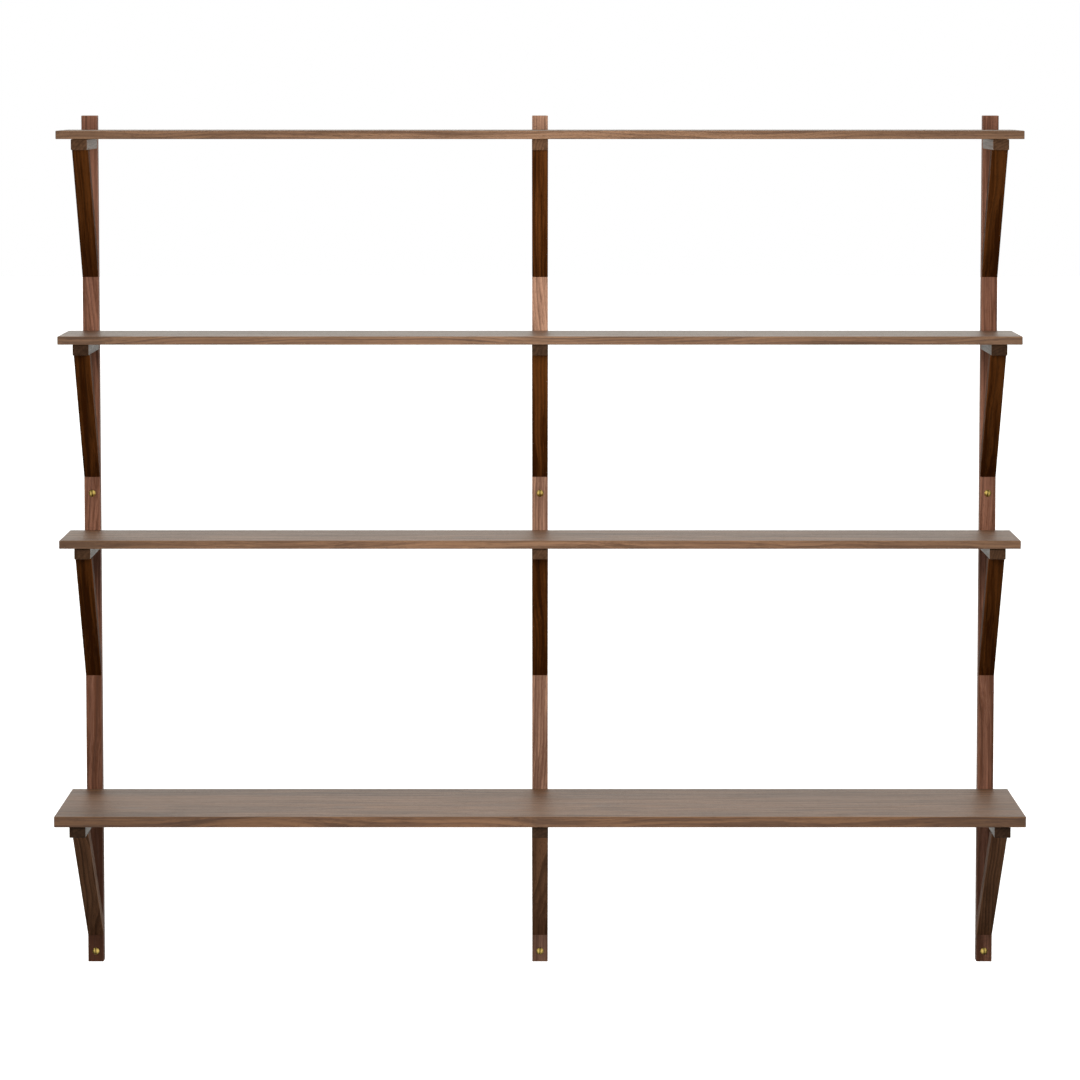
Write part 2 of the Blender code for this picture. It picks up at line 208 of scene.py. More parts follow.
class Shell:
    """Grids of points that are gathered, then sewn along their common edges into one closed skin."""

    def __init__(self):
        self.points = []
        self.marks = []
        self.quads = []
        self.count = 0

    def add(self, grid, wraps=True, keep=None, mark=None):
        """Adds a grid of rows and columns of points. A quad lies between neighbours, and wraps joins the
        last column to the first. keep leaves quads out, and mark says how far a point is on an eased edge,
        or how deep in a screw's slot."""
        rows, columns = grid.shape[:2]
        index = np.arange(rows * columns).reshape(rows, columns) + self.count
        right = np.roll(index, -1, axis=1)
        quads = np.stack([index[:-1], right[:-1], right[1:], index[1:]], axis=2)
        if not wraps:
            quads = quads[:, :-1]
        if keep is not None:
            quads = quads[keep]
        self.points.append(grid.reshape(-1, 3))
        self.marks.append(np.zeros(rows * columns) if mark is None else mark.reshape(-1))
        self.quads.append(quads.reshape(-1, 4))
        self.count += rows * columns

    def sewn(self, name, sharp_angle):
        """The closed mesh: equal points become one, and every face looks outwards."""
        mesh = bpy.data.meshes.new(name)
        mesh.from_pydata(np.concatenate(self.points), [], np.concatenate(self.quads))
        layer = mesh.attributes.new("mark", "FLOAT", "POINT")
        layer.data.foreach_set("value", np.concatenate(self.marks).astype(np.float32))
        work = bmesh.new()
        work.from_mesh(mesh)
        bmesh.ops.remove_doubles(work, verts=work.verts, dist=MERGE)
        bmesh.ops.dissolve_degenerate(work, edges=work.edges, dist=MERGE / 4)
        bmesh.ops.recalc_face_normals(work, faces=work.faces)
        open_edges = sum(1 for edge in work.edges if len(edge.link_faces) != 2)
        work.to_mesh(mesh)
        work.free()
        if open_edges:
            raise RuntimeError(f"{name} has {open_edges} open or doubled edges")
        mesh.shade_smooth()
        mesh.set_sharp_from_angle(angle=sharp_angle)
        return mesh


def stops(lowest, highest, centres, reach):
    """Places along a face: its two ends, and round each centre an even run as wide as a hole's patch."""
    runs = [np.linspace(centre - reach, centre + reach, POCKET_STEPS + 1) for centre in centres]
    places = np.unique(np.round(np.concatenate([[lowest, highest], *runs]), 8))
    return places[(places >= lowest - MERGE) & (places <= highest + MERGE)]


def outline(low, high, side):
    """Once round an eased bar, for the places low and high across its lower and upper faces and side up its
    sides. A point of the outline is core + radius x way: core goes round the rectangle that the flats
    span, and way is the unit vector out of the flat, which turns a quarter in each corner."""
    width, height = low[-1], side[-1]
    runs = (
        np.stack([low, np.full_like(low, -height)], axis=1),
        np.stack([np.full_like(side, width), side], axis=1),
        np.stack([high[::-1], np.full_like(high, height)], axis=1),
        np.stack([np.full_like(side, -width), side[::-1]], axis=1),
    )
    bend = np.linspace(0, QUARTER, BEND_STEPS + 1)[1:-1]
    core, way, share = [], [], []
    for turn, run in enumerate(runs):
        angle = turn * QUARTER + np.concatenate([np.zeros(len(run)), bend])
        core.append(np.concatenate([run, np.repeat(run[-1:], len(bend), axis=0)]))
        way.append(np.stack([np.sin(angle), -np.cos(angle)], axis=1))
        share.append(np.concatenate([np.zeros(len(run)), np.sin(2 * bend)]))
    return np.concatenate(core), np.concatenate(way), np.concatenate(share)


def end_face(border, core, flats, out, box=None):
    """A flat end in rows of points: the border shrinks to its middle, or it steps in to a tenon's box, goes
    out along it and closes on its end. A ring of the box = its middle + the core's share x its half size.
    flats are the two axes that lie in the face, and out is the axis that leaves it."""
    low, high = (border.min(0), border.max(0)) if box is None else box
    middle, half = (low + high)[flats] / 2, (high - low)[flats] / 2
    places = [] if box is None else [border[0, out], high[out]]
    rows = [border]
    for place in places:
        ring = np.full_like(border, place)
        ring[:, flats] = middle + core / np.abs(core).max(axis=0) * half
        rows.append(ring)
    tip = np.full_like(border, rows[-1][0, out])
    tip[:, flats] = middle
    return np.stack([*rows, tip])


def square_border():
    """Once round a square of side 2 about its middle, in even steps, without its first point again."""
    side = np.linspace(-1, 1, POCKET_STEPS, endpoint=False)
    one = np.ones(POCKET_STEPS)
    across = np.concatenate([side, one, -side, -one])
    along = np.concatenate([-one, side, one, -side])
    return across, along


class Bar:
    """An eased rectangular bar in its own directions: along, across and up."""

    def __init__(self, lowest, highest, axes, ease, end_eases):
        self.axes = list(axes)
        self.low = np.array(lowest, float)[self.axes]
        self.high = np.array(highest, float)[self.axes]
        self.middle = (self.low + self.high) / 2
        self.half = (self.high - self.low) / 2
        self.ease = ease
        self.end_eases = end_eases
        self.pockets = []
        self.tenon = None

    def drill(self, place, reach, rings, through):
        """Keeps a hole for later. place is its middle along and across, reach is half the patch round it,
        and rings are its outline on the way in: how far up, half across, half along, and if it is round."""
        self.pockets.append((place, reach, rings, through))

    def in_world(self, grid):
        """Points given along, across from the middle and up from the middle, turned to x, y and z."""
        world = np.empty_like(grid)
        world[..., self.axes[0]] = grid[..., 0]
        world[..., self.axes[1]] = grid[..., 1] + self.middle[1]
        world[..., self.axes[2]] = grid[..., 2] + self.middle[2]
        return world

    def shell(self):
        """The whole skin: the bar's sides and eased ends, two end faces, and the walls of its holes."""
        width, height = self.half[1:] - self.ease
        start, finish = self.low[0] + self.end_eases[0], self.high[0] - self.end_eases[1]
        reach = self.pockets[0][1] if self.pockets else 0.0
        alongs = [place[0] for place, *_ in self.pockets]
        acrosses = sorted({round(place[1] - self.middle[1], 6) for place, *_ in self.pockets})
        along = stops(start, finish, alongs, reach)
        low = stops(-width, width, acrosses, reach)
        side = np.linspace(-height, height, 3)
        core, way, share = outline(low, low, side)

        # Along the bar an end's edge turns through a quarter: place = end - ease + ease x sin(tilt), and
        # the outline's radius shrinks to ease - end ease + end ease x cos(tilt).
        tilt = np.linspace(QUARTER, 0, BEND_STEPS + 1)[:-1]
        first, last = self.end_eases
        place = np.concatenate([start - first * np.sin(tilt), along, finish + last * np.sin(tilt[::-1])])
        radius = np.concatenate([
            self.ease - first * (1 - np.cos(tilt)),
            np.full(len(along), self.ease),
            self.ease - last * (1 - np.cos(tilt[::-1])),
        ])
        end_share = np.concatenate([np.sin(2 * tilt), np.zeros(len(along)), np.sin(2 * tilt[::-1])])
        section = core[None] + radius[:, None, None] * way[None]
        along_part = np.broadcast_to(place[:, None, None], section.shape[:2] + (1,))
        grid = np.concatenate([along_part, section], axis=2)
        shares = np.maximum(share[None], end_share[:, None])
        keep = np.ones((len(place) - 1, len(core)), bool)
        upper = len(low) + len(side) + 2 * (BEND_STEPS - 1)
        for (at_along, at_across), reach, rings, through in self.pockets:
            row = np.searchsorted(along, at_along - reach - MERGE) + len(tilt)
            column = np.searchsorted(low, at_across - self.middle[1] - reach - MERGE)
            rows = slice(row, row + POCKET_STEPS)
            keep[rows, column:column + POCKET_STEPS] = False
            if through:
                mirrored = upper + len(low) - 1 - column - POCKET_STEPS
                keep[rows, mirrored:mirrored + POCKET_STEPS] = False

        skin = Shell()
        skin.add(self.in_world(grid), keep=keep, mark=shares)
        for pocket in self.pockets:
            skin.add(self.in_world(self.pocket_grid(*pocket)))
        box = None
        if self.tenon is not None:
            box = [np.array(corner)[self.axes] - (0, *self.middle[1:]) for corner in self.tenon]
        skin.add(self.in_world(end_face(grid[0], core, [1, 2], 0)))
        skin.add(self.in_world(end_face(grid[-1], core, [1, 2], 0, box)))
        return skin

    def pocket_grid(self, place, reach, rings, through):
        """A hole's patch and walls: the patch's border shrinks to the mouth, follows the rings in, and
        either opens to the same square on the upper face or closes in a point."""
        across, along = square_border()
        length = np.hypot(across, along)
        bottom = -self.half[2]
        rows = [(bottom, across * reach, along * reach)]
        for up, half_across, half_along, round_hole in rings:
            scale = length if round_hole else 1.0
            rows.append((bottom + up, across * half_across / scale, along * half_along / scale))
        if through:
            rows.append((self.half[2], across * reach, along * reach))
        else:
            rows.append((rows[-1][0], across * 0, along * 0))
        grid = np.empty((len(rows), len(across), 3))
        for row, (up, across_row, along_row) in zip(grid, rows):
            row[:, 0] = place[0] + along_row
            row[:, 1] = place[1] - self.middle[1] + across_row
            row[:, 2] = up
        return grid


def strut_shell(level, side, ease):
    """A leaning strut between two planes, and how far it leans. A point of its eased section starts at the
    upright's front and runs along the lean to the level plane under the arm, so both cuts are exact:
    point = foot corner + depth into the strut x its thickness direction + run x lean direction."""
    front = upright_front(side)
    arm_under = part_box(arm_name(level, side))[0].z
    points = points_of(strut_name(level, side))
    body = points[(points[:, 1] < front) & (points[:, 2] < arm_under)]
    foot_tenon = points[points[:, 1] > front]
    head_tenon = points[points[:, 2] > arm_under]
    lowest, highest = body.min(0), body.max(0)
    foot_y, foot_z = highest[1], lowest[2]
    head_y, head_z = lowest[1], highest[2]
    lean = math.atan2(foot_y - head_y, head_z - foot_z)
    on_head = body[body[:, 2] > head_z - MERGE]
    thickness = np.ptp(on_head[:, 1]) * math.cos(lean)
    width, depth = (highest[0] - lowest[0]) / 2 - ease, thickness / 2 - ease
    faces = np.linspace(-width, width, 5)
    core, way, share = outline(faces, faces, np.linspace(-depth, depth, 5))
    section = core + ease * way
    into = section[:, 1] + thickness / 2
    run_foot = into / math.tan(lean)
    run_head = (head_z - foot_z - into * math.sin(lean)) / math.cos(lean)
    part = np.linspace(0, 1, 9)[:, None]
    run = run_foot + (run_head - run_foot) * part
    grid = np.empty((len(part), len(core), 3))
    grid[..., 0] = (highest[0] + lowest[0]) / 2 + section[:, 0]
    grid[..., 1] = foot_y + into * math.cos(lean) - run * math.sin(lean)
    grid[..., 2] = foot_z + into * math.sin(lean) + run * math.cos(lean)
    skin = Shell()
    skin.add(grid, mark=np.broadcast_to(share, grid.shape[:2]))
    for border, tenon, flats, out in ((grid[0], foot_tenon, [0, 2], 1), (grid[-1], head_tenon, [0, 1], 2)):
        skin.add(end_face(border, core, flats, out, (tenon.min(0), tenon.max(0))))
    return skin, lean


# ---- screws


def screw_grids(sizes, radius, length, slot_turn):
    """A slotted countersunk wood screw about its own axis, head at zero and point at -length.

    Head: columns run across the slot and rows along it, height = the dome of a sphere, and between the
    slot's walls the lower of the dome and the slot's floor.
    Shank: turned about the axis, radius = core + thread x ridge of (depth / pitch - turn), where the
    ridge is a rounded wedge, and everything shrinks to the gimlet point."""
    turn = np.linspace(math.pi, 0, HEAD_COLUMNS)
    across = radius * np.cos(turn)
    half_slot = sizes["slot"] / 2
    past_slot = half_slot * BESIDE_SLOT
    inner = np.linspace(-half_slot, half_slot, SLOT_COLUMNS)
    left, right = across[across < -past_slot], across[across > past_slot]
    columns = np.concatenate([left, [-half_slot], inner, [half_slot], right])
    in_slot = np.zeros(len(columns), bool)
    in_slot[len(left) + 1:len(left) + 1 + len(inner)] = True

    # Where the slot's floor lies below the rim, its ends lie on the cone, so the head is narrower there.
    slot_floor = sizes["dome"] - sizes["slot_depth"]
    sunk = max(0.0, -slot_floor)
    cone, shank = sizes["cone"], sizes["shank"]
    reach = np.where(in_slot, radius - sunk * (radius - shank) / cone, radius)
    rows = np.linspace(-1, 1, HEAD_ROWS)[:, None]
    x = np.broadcast_to(columns, (len(rows), len(columns)))
    y = rows * np.sqrt(np.maximum(reach**2 - columns**2, 0))
    height = sizes["dome"] * (1 - np.minimum((x**2 + y**2) / radius**2, 1))
    height = np.where(in_slot, np.minimum(height, slot_floor), height)
    head = np.stack([x, y, height], axis=2)

    rim = np.concatenate([head[-1], head[0, ::-1]])
    angle = np.arctan2(rim[:, 1], rim[:, 0])
    rim_turn = np.stack([np.cos(angle), np.sin(angle)], axis=1)
    steps = max(24, int((length - cone) / sizes["pitch"] * THREAD_STEPS))
    depth = np.concatenate([[max(sunk * 1.2, cone * 0.25)], np.linspace(cone, length, steps)])
    body = shank_radius(depth[:, None], angle[None], sizes, radius, length)
    grid = np.empty((len(depth) + 1, len(rim), 3))
    grid[0] = rim
    grid[1:, :, :2] = body[..., None] * rim_turn[None]
    grid[1:, :, 2] = -depth[:, None]
    cosine, sine = math.cos(slot_turn), math.sin(slot_turn)
    for part in (head, grid):
        part[..., :2] = part[..., :2] @ np.array([[cosine, sine], [-sine, cosine]])
    # The slot and the columns at its edges are marked for painted shade
    hollow = np.broadcast_to(np.abs(columns) <= past_slot, x.shape).astype(float)
    return head, grid, hollow


def shank_radius(depth, angle, sizes, radius, length):
    """How far the screw's skin is from its axis: a cone under the head, a plain neck, then the thread."""
    cone, shank, pitch = sizes["cone"], sizes["shank"], sizes["pitch"]
    on_cone = radius + (shank - radius) * np.minimum(depth / cone, 1)
    phase = np.mod(depth / pitch - angle / (2 * math.pi), 1.0)
    ridge = np.clip(1 - np.abs(2 * phase - 1) * THREAD_EDGE, 0, 1) ** 0.8
    into_thread = np.clip((depth - sizes["neck"]) / (2 * pitch), 0, 1)
    threaded = shank + (shank * THREAD_CORE - shank) * into_thread * (1 - ridge)
    point = np.clip((length - depth) / (shank * POINT_LENGTH), 0, 1) ** 0.75
    return np.where(depth < cone, on_cone, threaded * point)


# ---- shader maths


class Signal:
    """A number that runs through a shader. Arithmetic on it adds Math nodes."""

    def __init__(self, shader, socket):
        self.shader = shader
        self.socket = socket

    def __add__(self, other):
        return self.shader.math("ADD", self, other)

    __radd__ = __add__

    def __sub__(self, other):
        return self.shader.math("SUBTRACT", self, other)

    def __rsub__(self, other):
        return self.shader.math("SUBTRACT", other, self)

    def __mul__(self, other):
        return self.shader.math("MULTIPLY", self, other)

    __rmul__ = __mul__

    def __truediv__(self, other):
        return self.shader.math("DIVIDE", self, other)

    def __rtruediv__(self, other):
        return self.shader.math("DIVIDE", other, self)

    def __pow__(self, other):
        return self.shader.math("POWER", self, other)


class Shader:
    """A node tree, with one method that makes any node."""

    def __init__(self, tree):
        self.tree = tree
        tree.nodes.clear()

    def node(self, kind, settings=None, inputs=None, output=0):
        made = self.tree.nodes.new(kind)
        for name, value in (settings or {}).items():
            if name == "stops":
                for element, (place, level) in zip(made.color_ramp.elements, value):
                    element.position = place
                    element.color = (level, level, level, 1)
            else:
                setattr(made, name, value)
        for key, value in (inputs or {}).items():
            if isinstance(value, Signal):
                self.tree.links.new(value.socket, made.inputs[key])
            else:
                made.inputs[key].default_value = value
        return Signal(self, made.outputs[output]) if made.outputs else None

    def math(self, operation, first, second=0.0):
        return self.node("ShaderNodeMath", {"operation": operation}, {0: first, 1: second})

    def object_place(self):
        return self.node("ShaderNodeTexCoord", output="Object")

    def parts(self, place):
        """A place's x, y and z."""
        split = self.node("ShaderNodeSeparateXYZ", None, {0: place})
        return [Signal(self, output) for output in split.socket.node.outputs]

    def noise(self, place, scale, detail, roughness):
        """Noise from -1 to 1 whose lumps are 1 / scale metres long in each direction."""
        stretched = self.node("ShaderNodeVectorMath", {"operation": "MULTIPLY"}, {0: place, 1: scale})
        inputs = {"Vector": stretched, "Scale": 1.0, "Detail": detail, "Roughness": roughness}
        return self.node("ShaderNodeTexNoise", None, inputs) * 2 - 1

    def drawn(self, place, figure):
        """Noise that is drawn out along X, as one of the walnut's figures says."""
        along, across, detail, roughness = figure
        return self.noise(place, (along, across, across), detail, roughness)

    def rise(self, value, low, high):
        """0 up to a low value, 1 from a high one on, and an even rise between them."""
        return self.node("ShaderNodeValToRGB", {"stops": ((low, 0.0), (high, 1.0))}, {"Fac": value})

    def mix(self, first, second, share):
        """A colour between two colours."""
        settings = {"data_type": "RGBA", "clamp_factor": True}
        return self.node("ShaderNodeMix", settings, {0: share, 6: first, 7: second}, output=2)

    def mark(self):
        """How far a point is on an eased edge, or how deep in a screw's slot."""
        return self.node("ShaderNodeAttribute", {"attribute_name": "mark"}, output="Fac")

    def bump(self, strength, distance, height):
        inputs = {"Strength": strength, "Distance": distance, "Height": height}
        return self.node("ShaderNodeBump", None, inputs, output="Normal")

    def finish(self, surface, kind="Material"):
        self.node("ShaderNodeOutput" + kind, None, {"Surface": surface})


def new_material(name):
    """A material with an empty shader."""
    material = bpy.data.materials.new(name)
    material.use_nodes = True
    return material, Shader(material.node_tree)


def opaque(colour, level=1.0):
    """A colour made lighter or darker, as the four numbers that a socket takes."""
    return (*(channel * level for channel in colour), 1.0)


# ---- finishes


def log_place(number, kind):
    """Where a piece is cut from its log. Golden-section steps spread the pieces evenly, so no two have the
    same figure."""
    swing = math.modf(number * GOLDEN * 3.7 + 0.31)[0]
    across, out = PITH_TO_BOARD if kind == "board" else PITH_TO_BAR
    along = LOG_LENGTH * math.modf(number * GOLDEN)[0]
    return Vector((along, across + PITH_SPREAD[0] * swing, out + PITH_SPREAD[1] * (1 - swing)))


def piece_turn(kind, lean):
    """The turn that lays a piece's grain along the log's X, with a little run-out as sawn timber has."""
    turns = {
        "board": (0.0, 0.004, 0.006),
        "upright": (0.012, QUARTER, 0.02),
        "arm": (0.0, 0.015, 0.02 - QUARTER),
        "strut": (-lean, QUARTER, 0.02),
    }
    return Euler(turns[kind])


def walnut(wood, kind, node, number, colours, dullness, painted_shade, lean):
    """Oiled walnut. The pattern lies in a log's own directions, X along the grain, and the rings are
    circles round the pith: radius = distance from the pith + slow waves along the grain.

    Dark late wood ends each ring, streaks and fibres are noise drawn out along the grain, pores are short
    dark dashes, and end grain, where the surface looks along the grain, is darker and shows the rings.
    The darkening to the foot, so much per metre, is painted shade where less light falls."""
    material, shade = new_material("Walnut " + node.replace("_", " "))
    centre = centre_of(node)
    turn = piece_turn(kind, lean)
    turned = turn.to_matrix()
    place = shade.object_place()
    shift = log_place(number, kind) - turned @ centre
    log = shade.node("ShaderNodeMapping", {"vector_type": "POINT"},
                     {"Vector": place, "Location": shift, "Rotation": turn})
    along, across, out = shade.parts(log)

    # Growth rings
    wave = shade.drawn(log, WAVE) * wood.wave_height
    flutter = shade.drawn(log, FLUTTER) * (wood.ring_width * 0.35)
    rings = ((across * across + out * out) ** 0.5 + wave + flutter) / wood.ring_width
    ring = shade.math("FRACT", rings)
    ring_number = shade.math("FLOOR", rings)
    ring_tone = shade.node("ShaderNodeTexWhiteNoise", {"noise_dimensions": "1D"}, {"W": ring_number})
    late_wood = ring**2 * (0.35 + 0.65 * ring_tone) * (1.0 - ring**12)

    # Streaks, fibres and pores follow the rings' waves.
    bent = shade.node("ShaderNodeCombineXYZ", None, {0: along, 1: across + wave, 2: out + wave})
    streak, fibre = shade.drawn(bent, STREAK), shade.drawn(bent, FIBRE)
    pore = shade.rise(shade.drawn(bent, PORE) * 0.5 + 0.5, 0.60, 0.70)

    # End grain
    grain_way = turned.transposed() @ Vector((1, 0, 0))
    normal = shade.node("ShaderNodeNewGeometry", output="Normal")
    facing = shade.node("ShaderNodeVectorMath", {"operation": "DOT_PRODUCT"}, {0: normal, 1: grain_way},
                        output="Value")
    end_grain = shade.rise(facing * facing, 0.35, 0.75)

    # Each colour lies over the one before, as strongly as its share says. The darkening to the foot is
    # painted shade, and the lighter eased edges are wear and a painted highlight.
    light, dark, line = colours
    darkness = (DARKNESS + shade.drawn(bent, ZONE) * BY_ZONE + shade.drawn(bent, FLOW) * BY_FLOW
                + streak * BY_STREAK + fibre * BY_FIBRE + (centre.z - shade.parts(place)[2]) * painted_shade)
    colour = opaque(light)
    for layer, share in (
        (opaque(dark), darkness),
        (opaque(line), late_wood * wood.ring_strength),
        (opaque(line, 0.55), pore * 0.55),
        (opaque(line, 0.8), end_grain * (0.3 + streak * 0.3)),
        # Painted highlight with wear: the eased edges are coloured lighter, as if they caught the light
        (opaque(light, 1.25), shade.mark() * wood.edge_wear_and_highlight),
    ):
        colour = shade.mix(colour, layer, share)

    roughness = (getattr(wood, kind + "_roughness") * dullness + streak * 0.12 + fibre * 0.08
                 - late_wood * 0.05 + pore * 0.12 + end_grain * 0.15)
    relief = fibre * 0.35 + streak * 0.3 - pore * 0.9 + late_wood * 0.5
    shade.finish(shade.node("ShaderNodeBsdfPrincipled", None, {
        "Base Color": colour, "Roughness": roughness, "Normal": shade.bump(0.35, 0.00025, relief),
        "IOR": 1.45, "Specular IOR Level": getattr(wood, kind + "_gloss"),
    }))
    return material


def brass(name, settings):
    """Satin brass: cloudy tarnish, fine specks and scratches, and a slot darkened with tarnish and painted
    shade.
    """
    material, shade = new_material(name)
    place = shade.object_place()
    cloud = shade.noise(place, (260.0, 260.0, 260.0), 3.0, 0.6)
    speck = shade.noise(place, (2100.0, 2100.0, 2100.0), 2.0, 0.6)
    scratch = shade.noise(place, (900.0, 4200.0, 700.0), 2.0, 0.5)
    tarnish = opaque(settings.tarnish_colour)
    tarnished = shade.mix(opaque(settings.brass_colour), tarnish, 0.22 + cloud * 0.35 + speck * 0.2)
    # Painted shade with tarnish: the slot and its edges are coloured almost black
    slot = shade.mark()
    colour = shade.mix(tarnished, opaque(settings.tarnish_colour, 0.12), slot)
    roughness = settings.metal_roughness + cloud * 0.06 + scratch * 0.08 + slot * 0.3
    relief = scratch * 0.6 + speck * 0.4
    shade.finish(shade.node("ShaderNodeBsdfPrincipled", None, {
        "Base Color": colour, "Metallic": 1.0, "Roughness": roughness,
        "Normal": shade.bump(0.25, 0.00005, relief),
    }))
    return material


# ---- placing pieces


def collection():
    """The collection that holds the shelf's fine pieces."""
    name = "Wall shelf"
    if name not in bpy.data.collections:
        bpy.context.scene.collection.children.link(bpy.data.collections.new(name))
    return bpy.data.collections[name]


def place_piece(stuff, node, shell, material, sharp_angle):
    """Makes a piece of a shell, in place, in the stead of its frame node, and names it for its stuff."""
    name = f"{stuff}_{node}"
    piece = bpy.data.objects.new(name, shell.sewn(name, sharp_angle))
    collection().objects.link(piece)
    piece.data.materials.append(material)
    even = piece.modifiers.new("Even shading", "WEIGHTED_NORMAL")
    even.keep_sharp = True
    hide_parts(node)
    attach(piece, "root")


def colours_of(wood, name, tone=1.0):
    """A wood's early wood, heartwood and late wood, all made lighter or darker."""
    return [Vector(getattr(wood, f"{name}_{part}")) * tone for part in WOOD_PARTS]


def place_wood(wood, kind, node, shell, number, colours, dullness=1.0, painted_shade=0.0, lean=0.0):
    """Gives a shell its walnut, and puts it in its node's place."""
    finish = walnut(wood, kind, node, number, colours, dullness, painted_shade, lean)
    place_piece("walnut", node, shell, finish, math.radians(40))


def new_bar(wood, lowest, highest, axes, far_ease):
    """An eased bar, and how far a hole's patch may reach across it."""
    bar = Bar(lowest, highest, axes, wood.edge_radius, (wood.edge_radius, far_ease))
    return bar, bar.half[1] - wood.edge_radius


def mortise(tenon, level_axis, face, axis, clearance):
    """A hole for a tenon, as drill takes it: its middle, and as wide as the tenon and a clearance more,
    straight down to its floor. The tenon goes past a face along an axis."""
    low, high = tenon
    half_across = (high[0] - low[0]) / 2 + clearance
    half_along = (high[level_axis] - low[level_axis]) / 2 + clearance
    middle = (low + high) / 2
    depth = high[axis] - face + clearance
    rings = ((0.0, half_across, half_along, False), (depth, half_across, half_along, False))
    return (middle[level_axis], middle[0]), rings


def countersink(mouth, bore, cone, depth):
    """The rings of a countersunk hole: a cone down from the mouth's radius to the bore's, then straight."""
    return ((0.0, mouth, mouth, True), (cone, bore, bore, True), (depth, bore, bore, True))


def add_board(wood, number, level):
    node = "board_" + level
    low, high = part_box(node)
    bar = new_bar(wood, low, high, BOARD_AXES, wood.edge_radius)[0]
    bore = wood.pilot_radius
    for screw in board_screws(f"_{level}_"):
        middle = centre_of(screw)
        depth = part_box(screw)[1].z - low.z + wood.clearance
        rings = ((0.0, bore, bore, True), (depth, bore, bore, True))
        bar.drill((middle.x, middle.y), bore * 2, rings, False)
    colours = colours_of(wood, "low_board" if level == "bottom" else "board", BOARD_TONES[level])
    place_wood(wood, "board", node, bar.shell(), number, colours, dullness=BOARD_DULLNESS[level])


def add_upright(wood, screws, number, side):
    node = "upright_" + side
    low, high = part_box(node)
    bar, reach = new_bar(wood, low, high, UPRIGHT_AXES, wood.edge_radius)
    for level in LEVELS:
        for other in (arm_name(level, side), strut_name(level, side)):
            tenon = body_and_tenon(other, 1, low.y)[1]
            place, rings = mortise(tenon, 2, low.y, 1, wood.clearance)
            bar.drill(place, reach, rings, False)
    for height in ("upper", "lower"):
        screw = f"wall_screw_{height}_{side}"
        middle = centre_of(screw)
        rings = countersink(head_radius(screw) + wood.clearance, screws.wall_shank + wood.clearance,
                            screws.wall_cone, high.y - low.y)
        bar.drill((middle.z, middle.x), reach, rings, True)
    colours = colours_of(wood, "centre_upright" if side == "centre" else "upright")
    place_wood(wood, "upright", node, bar.shell(), number, colours, painted_shade=wood.upright_fade)


def add_arm(wood, screws, number, level, side):
    node = arm_name(level, side)
    body, tenon = body_and_tenon(node, 1, upright_front(side))
    low, high = body.min(0), body.max(0)
    bar, reach = new_bar(wood, low, high, ARM_AXES, wood.shoulder_ease)
    bar.tenon = tenon
    head_tenon = body_and_tenon(strut_name(level, side), 2, low[2])[1]
    place, rings = mortise(head_tenon, 1, low[2], 2, wood.clearance)
    bar.drill(place, reach, rings, False)
    for screw in board_screws(f"_{level}_{side}"):
        middle = centre_of(screw)
        rings = countersink(head_radius(screw) + 2 * wood.clearance, screws.board_shank + wood.clearance,
                            screws.board_cone, high[2] - low[2])
        bar.drill((middle.y, middle.x), reach, rings, True)
    place_wood(wood, "arm", node, bar.shell(), number, colours_of(wood, "arm", ARM_TONES[level]))


def add_strut(wood, number, level, side):
    shell, lean = strut_shell(level, side, wood.edge_radius)
    # The bottom struts take lighter colours, painted light from below; the others darker ones, painted
    # shade
    name = "low_strut" if level == "bottom" else "strut"
    colours, painted_shade = colours_of(wood, name), getattr(wood, name + "_fade")
    place_wood(wood, "strut", strut_name(level, side), shell, number, colours, painted_shade=painted_shade, lean=lean)


def add_screw(screws, kind, node, finish, turn):
    """Places a screw of a kind, with its head to the front or, for a board screw, down. The head's rim lies
    where the frame node's cone starts."""
    sizes = {name: getattr(screws, f"{kind}_{name}") for name in SCREW_SIZES}
    low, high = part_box(node)
    axis = SCREW_AXES[kind]
    flats = [0, 3 - axis]
    rim = low[axis] + sizes["dome"]
    head, body, hollow = screw_grids(sizes, head_radius(node), high[axis] - rim, turn)
    shell = Shell()
    for grid, wraps, mark in ((head, False, hollow), (body, True, None)):
        world = np.empty_like(grid)
        world[..., flats] = np.array(centre_of(node))[flats] + grid[..., :2]
        world[..., axis] = rim - grid[..., 2]
        shell.add(world, wraps=wraps, mark=mark)
    place_piece("brass", node, shell, finish, math.radians(32))


# ---- settings


def colour_property(name, description, default):
    return bpy.props.FloatVectorProperty(
        name=name, description=description, default=default, subtype="COLOR", size=3, min=0, max=1
    )


def number_property(name, description, default, **more):
    return bpy.props.FloatProperty(name=name, description=description, default=default, min=0, **more)


def length_property(name, description, default):
    return number_property(name, description, default, unit="LENGTH", subtype="DISTANCE", precision=5)


def share_property(name, description, default):
    return number_property(name, description, default, soft_max=1, subtype="FACTOR")


